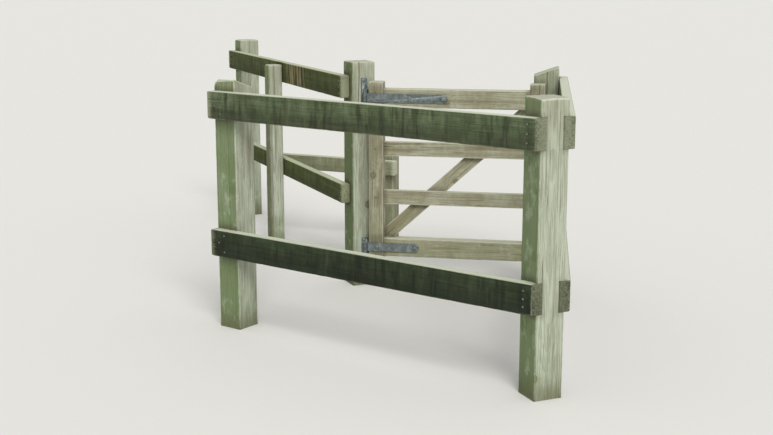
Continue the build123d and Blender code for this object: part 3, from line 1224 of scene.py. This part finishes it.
def eased_metal(node):
    """The node's mesh with its edges eased."""
    mesh = bmesh.new()
    mesh.from_mesh(frame["nodes"][node].data)
    bmesh.ops.remove_doubles(mesh, verts=mesh.verts, dist=1e-5)
    bmesh.ops.dissolve_limit(
        mesh, angle_limit=math.radians(1), verts=mesh.verts, edges=mesh.edges
    )
    sharp = [edge for edge in mesh.edges if edge.calc_face_angle(0) > math.radians(40)]
    bmesh.ops.bevel(
        mesh, geom=sharp, offset=EDGE_EASE, segments=2, affect="EDGES", clamp_overlap=True
    )
    return mesh


for node in ("upper_gate_hook", "lower_gate_hook", "upper_band_hinge", "lower_band_hinge"):
    body = frame["nodes"][node]["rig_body"]
    piece = place_piece(node + "_forged", eased_metal(node), "zinc", body, [node])
    print(piece.name, len(piece.data.polygons), "faces")

# %% [markdown]
# Nail heads, bolts, washers and pegs are all round, so each is a short outline turned about its
# axis, as on a lathe. Turning gives true domes and chamfers from a few points, which a squashed
# ball would not. A nut is the same turning with only six steps.

# %% Turn a fastener


def turned(mesh, outline, place, steps=14):
    """Turns (radius, height) points about the place's Z, from the rim in to the middle."""
    rings = []
    for radius, height in outline:
        count = 1 if radius == 0 else steps
        ring = []
        for number in range(count):
            turn = 2 * math.pi * number / steps
            point = Vector((radius * math.cos(turn), radius * math.sin(turn), height))
            ring.append(mesh.verts.new(place @ point))
        rings.append(ring)
    for outer, inner in zip(rings, rings[1:]):
        for number in range(steps):
            after = (number + 1) % steps
            if len(inner) == 1:
                mesh.faces.new((outer[number], outer[after], inner[0]))
            elif len(outer) == 1:
                mesh.faces.new((outer[0], inner[after], inner[number]))
            else:
                mesh.faces.new((outer[number], outer[after], inner[after], inner[number]))


def facing_place(point, out, turn=0.0):
    """A place at a point, its Z looking out and turned a little about it."""
    looking_out = out.to_track_quat("Z", "Y").to_matrix().to_4x4()
    return Matrix.Translation(point) @ looking_out @ Matrix.Rotation(turn, 4, "Z")


NAIL_OUTLINE = (
    (0.0044, -0.0012), (0.0047, -0.0002), (0.0044, 0.0004), (0.0030, 0.0008), (0.0, 0.0009),
)
for body in ("posts_and_rails", "leaf"):
    mesh = bmesh.new()
    for front, (places, out) in nails.items():
        if frame["nodes"][front]["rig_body"] == body:
            for point in places:
                lean = Vector([nail_dice.uniform(-0.08, 0.08) for _ in range(3)])
                turned(mesh, NAIL_OUTLINE, facing_place(point, (out + lean).normalized()), 12)
    piece = place_piece(body + "_nail_heads", mesh, "nail", body)
    print(piece.name, len(piece.data.polygons), "faces")

# %% [markdown]
# The bands are bolted through the leaf. A coach bolt has a low dome on one face of the gate and
# a washer and nut on the other. The last bolt sits at the middle of the band's round tip, and
# the first just past the heel. The plates of the hooks are held by two screws with round heads.

# %% Bolts and screws
BOLT_FROM_HEEL = 0.055
DOME_OUTLINE = (
    (0.0105, -0.0005), (0.0108, 0.0008), (0.0098, 0.0026),
    (0.0070, 0.0042), (0.0036, 0.0049), (0.0, 0.0051),
)
WASHER_OUTLINE = ((0.0125, -0.0005), (0.0125, 0.0013), (0.0118, 0.0018), (0.0, 0.0018))
NUT_OUTLINE = ((0.0098, 0.0010), (0.0098, 0.0085), (0.0086, 0.0098), (0.0, 0.0098))
THREAD_OUTLINE = ((0.0050, 0.0050), (0.0050, 0.0126), (0.0042, 0.0136), (0.0, 0.0136))
SCREW_OUTLINE = (
    (0.0078, -0.0005), (0.0080, 0.0008), (0.0068, 0.0028), (0.0040, 0.0040), (0.0, 0.0044),
)
SCREW_MARGIN = 0.014
PLATE_THICKNESS = 0.006

UPWARDS = Vector((0, 0, 1))
leaf_along, leaf_out = timber_axes("leaf_top_rail")[0], timber_axes("leaf_brace")[2]


def span(node, direction):
    """How far a node reaches in a direction, from its least to its greatest distance."""
    distances = [vert.co.dot(direction) for vert in frame["nodes"][node].data.vertices]
    return min(distances), max(distances)


mesh = bmesh.new()
bolt_count = 0
for node, steps in (("upper_band_hinge", 3), ("lower_band_hinge", 2)):
    heel, tip = span(node, leaf_along)
    back, front = span(node, leaf_out)
    low, high = span(node, UPWARDS)
    tip_radius = (high - low) / 2
    first, last = heel + BOLT_FROM_HEEL + tip_radius, tip - tip_radius
    for number in range(steps):
        along = first + (last - first) * number / (steps - 1)
        middle = leaf_along * along + UPWARDS * (low + tip_radius)
        turn = nail_dice.uniform(0, 1)
        head = facing_place(middle + leaf_out * front, leaf_out, turn)
        tail = facing_place(middle + leaf_out * back, -leaf_out, turn)
        turned(mesh, DOME_OUTLINE, head, 20)
        turned(mesh, WASHER_OUTLINE, tail, 20)
        turned(mesh, NUT_OUTLINE, tail, 6)
        turned(mesh, THREAD_OUTLINE, tail, 12)
        bolt_count += 1
piece = place_piece("band_bolts", mesh, "zinc", "leaf")
print("bolts:", bolt_count, "faces", len(piece.data.polygons))

mesh = bmesh.new()
plate_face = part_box("hanging_post")[1].x + PLATE_THICKNESS
for node in ("upper_gate_hook", "lower_gate_hook"):
    low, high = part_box(node)
    points = [vert.co for vert in frame["nodes"][node].data.vertices]
    heights = [point.z for point in points if point.x < plate_face + NO_GAP]
    for level in (min(heights) + SCREW_MARGIN, max(heights) - SCREW_MARGIN):
        point = Vector((plate_face, (low.y + high.y) / 2, level))
        turned(mesh, SCREW_OUTLINE, facing_place(point, Vector((1, 0, 0))), 16)
piece = place_piece("hook_screws", mesh, "zinc", "posts_and_rails")
print(piece.name, len(piece.data.polygons), "faces")

# %% [markdown]
# The leaf's rails end in tenons inside its stiles, and each joint is pinned by pegs that are
# driven right through and cut off just proud. A deep rail has two, near the edges of its tenon
# and clear of the band, and a narrow rail has one.

# %% Pegs through the stiles
PEG_SPREAD = 0.66
PEG_OUTLINE = ((0.0060, -0.0010), (0.0060, 0.0009), (0.0054, 0.0014), (0.0, 0.0016))

mesh = bmesh.new()
peg_count = 0
for stile in ("leaf_heel_stile", "leaf_head_stile"):
    inner, outer = span(stile, leaf_along)
    back, front = span(stile, leaf_out)
    for rail in ("leaf_top_rail", "leaf_middle_rail_1", "leaf_middle_rail_2", "leaf_bottom_rail"):
        low, high = span(rail, UPWARDS)
        shares = (0.0,) if "middle" in rail else (-PEG_SPREAD / 2, PEG_SPREAD / 2)
        for share in shares:
            along = (inner + outer) / 2 + nail_dice.uniform(-NAIL_JITTER, NAIL_JITTER)
            middle = leaf_along * along + UPWARDS * ((low + high) / 2 + share * (high - low))
            turned(mesh, PEG_OUTLINE, facing_place(middle + leaf_out * front, leaf_out), 12)
            turned(mesh, PEG_OUTLINE, facing_place(middle + leaf_out * back, -leaf_out), 12)
            peg_count += 1
piece = place_piece("stile_pegs", mesh, "peg", "leaf")
print("pegs:", peg_count, "faces", len(piece.data.polygons))

# %% [markdown]
# The floor is that of a plain studio: pale, level and far wider than the gate, so that its edge is
# never seen.

# %% Floor
FLOOR_REACH = 150.0
FLOOR_TINT = colour(226, 225, 221)

floor_mesh = bmesh.new()
bmesh.ops.create_circle(floor_mesh, cap_ends=True, radius=FLOOR_REACH, segments=96)
floor_data = bpy.data.meshes.new("floor")
floor_mesh.to_mesh(floor_data)
floor_mesh.free()
floor_data.materials.append(Finish("pale_floor").surface(FLOOR_TINT, 0.9))
floor = bpy.data.objects.new("floor", floor_data)
bpy.context.scene.collection.objects.link(floor)
print("floor", 2 * FLOOR_REACH, "across")

# %% [markdown]
# One broad lamp stands for soft daylight from behind the camera, and white light from all round
# fills the shadows. What the lens or a bright metal sees beyond the floor is a backdrop as
# pale as the floor, which the world tells apart by the kind of ray, so that a paler backdrop
# doesn't light the gate any more. The world is drawn with the same calls as a finish.

# %% Lamp and backdrop
LAMP_WAY = Vector((-0.72, 0.14, -0.68))
LAMP_STRENGTH = 1.95
LAMP_DEGREES = 28.0
FILL_LEVEL = 0.62
BACKDROP_TINT = colour(229, 228, 223)
WHITE = (1.0, 1.0, 1.0, 1.0)

lamp = bpy.data.lights.new("key_lamp", "SUN")
lamp.energy = LAMP_STRENGTH
lamp.angle = math.radians(LAMP_DEGREES)
lamp.color = (1.0, 0.995, 0.975)
lamp_holder = bpy.data.objects.new("key_lamp", lamp)
lamp_holder.rotation_euler = LAMP_WAY.to_track_quat("-Z", "Y").to_euler()
bpy.context.scene.collection.objects.link(lamp_holder)


class Surroundings(Finish):
    """The world round the gate, drawn with the same calls as a finish."""

    def __init__(self, name):
        world = bpy.data.worlds.new(name)
        bpy.context.scene.world = world
        world.use_nodes = True
        self.tree = world.node_tree
        self.tree.nodes.clear()


studio = Surroundings("studio")
shown_to = studio.node("ShaderNodeLightPath", {}, {}, "Is Camera Ray")
kinds = shown_to.socket.node.outputs
for kind in ("Is Glossy Ray", "Is Transmission Ray"):
    shown_to = shown_to.largest(Wire(studio, kinds[kind]))
fill = studio.node("ShaderNodeBackground", {}, {"Color": WHITE, "Strength": FILL_LEVEL})
shown = studio.node("ShaderNodeBackground", {}, {"Color": BACKDROP_TINT, "Strength": 1.0})
mixed = studio.node("ShaderNodeMixShader", {}, {0: shown_to, 1: fill, 2: shown})
studio.node("ShaderNodeOutputWorld", {}, {"Surface": mixed}, None)
print("lamp", LAMP_STRENGTH, "and fill", FILL_LEVEL)

# %% [markdown]
# The camera stands where the photographer stood, at eye height beyond the point of the V, and
# looks at the middle of the gate. The photographer looked further along the fence, which cut the
# gate off at the edge of the picture, so the eye's place is kept and the aim is not.

# %% Camera
EYE = Vector((5.80, -2.33, 1.65))
AIM = Vector((1.20, -0.36, 0.61))
VIEW_DEGREES = 35.5

camera_data = bpy.data.cameras.new("camera")
camera_data.sensor_width = 36.0
camera_data.angle = math.radians(VIEW_DEGREES)
camera_data.clip_end = 200.0
camera = bpy.data.objects.new("camera", camera_data)
camera.location = EYE
camera.rotation_euler = (AIM - EYE).to_track_quat("-Z", "Y").to_euler()
bpy.context.scene.collection.objects.link(camera)
bpy.context.scene.camera = camera
bpy.context.scene.view_settings.view_transform = "Standard"
print("camera", round((AIM - EYE).length, 2), "m from the gate's middle")

# %% [markdown]
